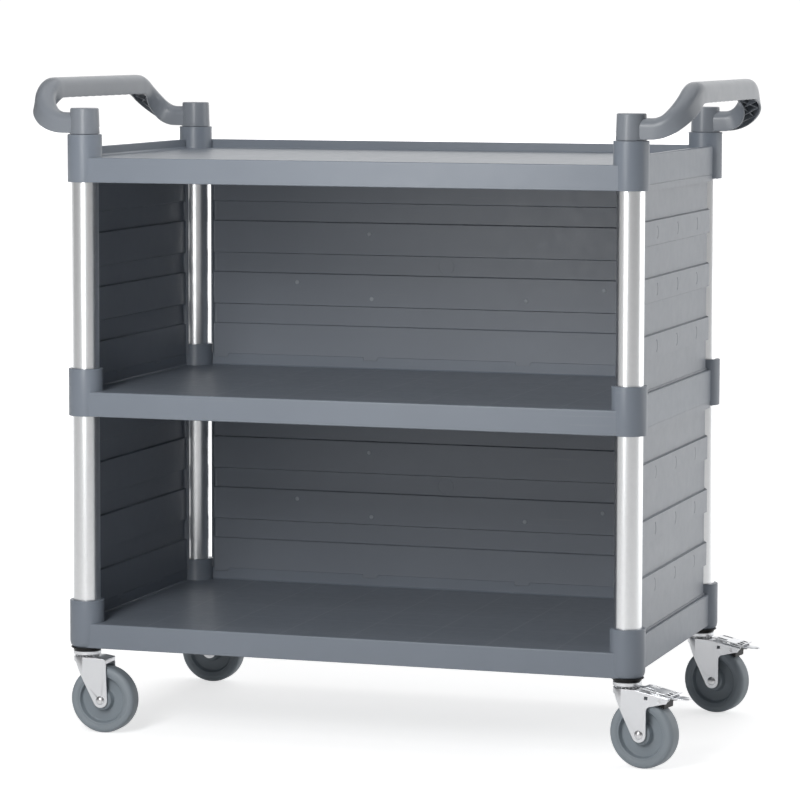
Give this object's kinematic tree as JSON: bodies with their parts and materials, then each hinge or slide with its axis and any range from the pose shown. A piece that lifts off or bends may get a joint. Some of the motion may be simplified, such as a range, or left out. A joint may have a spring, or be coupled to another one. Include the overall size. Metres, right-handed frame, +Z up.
{
  "type": "food service trolley",
  "caption": "Wheeled trolley with moulded shelves on tube posts, panelled on the back and both ends and open at the front, with push handles, swivel castors and pedal brakes.",
  "frame": {"origin": "on the floor, midway between the four post axes", "axes": "+X along the trolley towards the end with the braked castors, -Y out of the open front, +Z up"},
  "size_m": [1.0207, 0.5174, 0.9701],
  "materials": {
    "shelf_plastic": "satin moulded plastic, blue-grey",
    "panel_plastic": "satin moulded plastic, light blue-grey",
    "handle_plastic": "fine matt moulded plastic, light grey",
    "post_aluminium": "satin anodised tube",
    "black_plastic": "satin black moulding",
    "zinc_steel": "bright zinc plated pressing",
    "ball_steel": "polished",
    "bolt_steel": "zinc plated",
    "pedal_steel": "zinc plated pressing",
    "wheel_core": "satin grey moulding",
    "tread": "matt grey non-marking rubber"
  },
  "bodies": {
    "trolley_frame": {"bottom_shelf": "shelf_plastic", "middle_shelf": "shelf_plastic", "top_shelf": "shelf_plastic", "lower_post_fl": "post_aluminium", "lower_post_fr": "post_aluminium", "lower_post_rl": "post_aluminium", "lower_post_rr": "post_aluminium", "upper_post_fl": "post_aluminium", "upper_post_fr": "post_aluminium", "upper_post_rl": "post_aluminium", "upper_post_rr": "post_aluminium", "lower_back_panel": "panel_plastic", "lower_left_panel": "panel_plastic", "lower_right_panel": "panel_plastic", "upper_back_panel": "panel_plastic", "upper_left_panel": "panel_plastic", "upper_right_panel": "panel_plastic", "left_handle": "handle_plastic", "right_handle": "handle_plastic", "castor_plugs": "black_plastic", "castor_stems": "zinc_steel"},
    "castor_fl": {"fork_fl": "zinc_steel", "swivel_balls_fl": "ball_steel", "axle_bolt_fl": "bolt_steel", "axle_nut_fl": "bolt_steel", "axle_sleeve_fl": "bolt_steel"},
    "wheel_fl": {"wheel_hub_fl": "wheel_core", "tyre_fl": "tread"},
    "castor_fr": {"fork_fr": "zinc_steel", "swivel_balls_fr": "ball_steel", "axle_bolt_fr": "bolt_steel", "axle_nut_fr": "bolt_steel", "axle_sleeve_fr": "bolt_steel", "pedal_pin_fr": "bolt_steel"},
    "wheel_fr": {"wheel_hub_fr": "wheel_core", "tyre_fr": "tread"},
    "brake_fr": {"brake_pedal_fr": "pedal_steel", "brake_cam_fr": "black_plastic"},
    "castor_rl": {"fork_rl": "zinc_steel", "swivel_balls_rl": "ball_steel", "axle_bolt_rl": "bolt_steel", "axle_nut_rl": "bolt_steel", "axle_sleeve_rl": "bolt_steel"},
    "wheel_rl": {"wheel_hub_rl": "wheel_core", "tyre_rl": "tread"},
    "castor_rr": {"fork_rr": "zinc_steel", "swivel_balls_rr": "ball_steel", "axle_bolt_rr": "bolt_steel", "axle_nut_rr": "bolt_steel", "axle_sleeve_rr": "bolt_steel", "pedal_pin_rr": "bolt_steel"},
    "wheel_rr": {"wheel_hub_rr": "wheel_core", "tyre_rr": "tread"},
    "brake_rr": {"brake_pedal_rr": "pedal_steel", "brake_cam_rr": "black_plastic"}
  },
  "joints": [
    {"name": "swivel_fl", "type": "hinge", "parent": "trolley_frame", "child": "castor_fl", "pos_m": [-0.414, -0.227, 0.1135], "axis": [0, 0, 1], "continuous": true},
    {"name": "roll_fl", "type": "hinge", "parent": "castor_fl", "child": "wheel_fl", "pos_m": [-0.386, -0.227, 0.05], "axis": [0, 1, 0], "continuous": true},
    {"name": "swivel_fr", "type": "hinge", "parent": "trolley_frame", "child": "castor_fr", "pos_m": [0.414, -0.227, 0.1135], "axis": [0, 0, 1], "continuous": true},
    {"name": "roll_fr", "type": "hinge", "parent": "castor_fr", "child": "wheel_fr", "pos_m": [0.44139, -0.23282, 0.05], "axis": [0.2079, 0.9781, 0], "continuous": true},
    {"name": "brake_press_fr", "type": "hinge", "parent": "castor_fr", "child": "brake_fr", "pos_m": [0.47269, -0.23947, 0.101], "axis": [0.2079, 0.9781, 0], "range_deg": [0, 18]},
    {"name": "swivel_rl", "type": "hinge", "parent": "trolley_frame", "child": "castor_rl", "pos_m": [-0.414, 0.227, 0.1135], "axis": [0, 0, 1], "continuous": true},
    {"name": "roll_rl", "type": "hinge", "parent": "castor_rl", "child": "wheel_rl", "pos_m": [-0.386, 0.227, 0.05], "axis": [0, 1, 0], "continuous": true},
    {"name": "swivel_rr", "type": "hinge", "parent": "trolley_frame", "child": "castor_rr", "pos_m": [0.414, 0.227, 0.1135], "axis": [0, 0, 1], "continuous": true},
    {"name": "roll_rr", "type": "hinge", "parent": "castor_rr", "child": "wheel_rr", "pos_m": [0.44139, 0.22118, 0.05], "axis": [0.2079, 0.9781, 0], "continuous": true},
    {"name": "brake_press_rr", "type": "hinge", "parent": "castor_rr", "child": "brake_rr", "pos_m": [0.47269, 0.21452, 0.101], "axis": [0.2079, 0.9781, 0], "range_deg": [0, 18]}
  ]
}
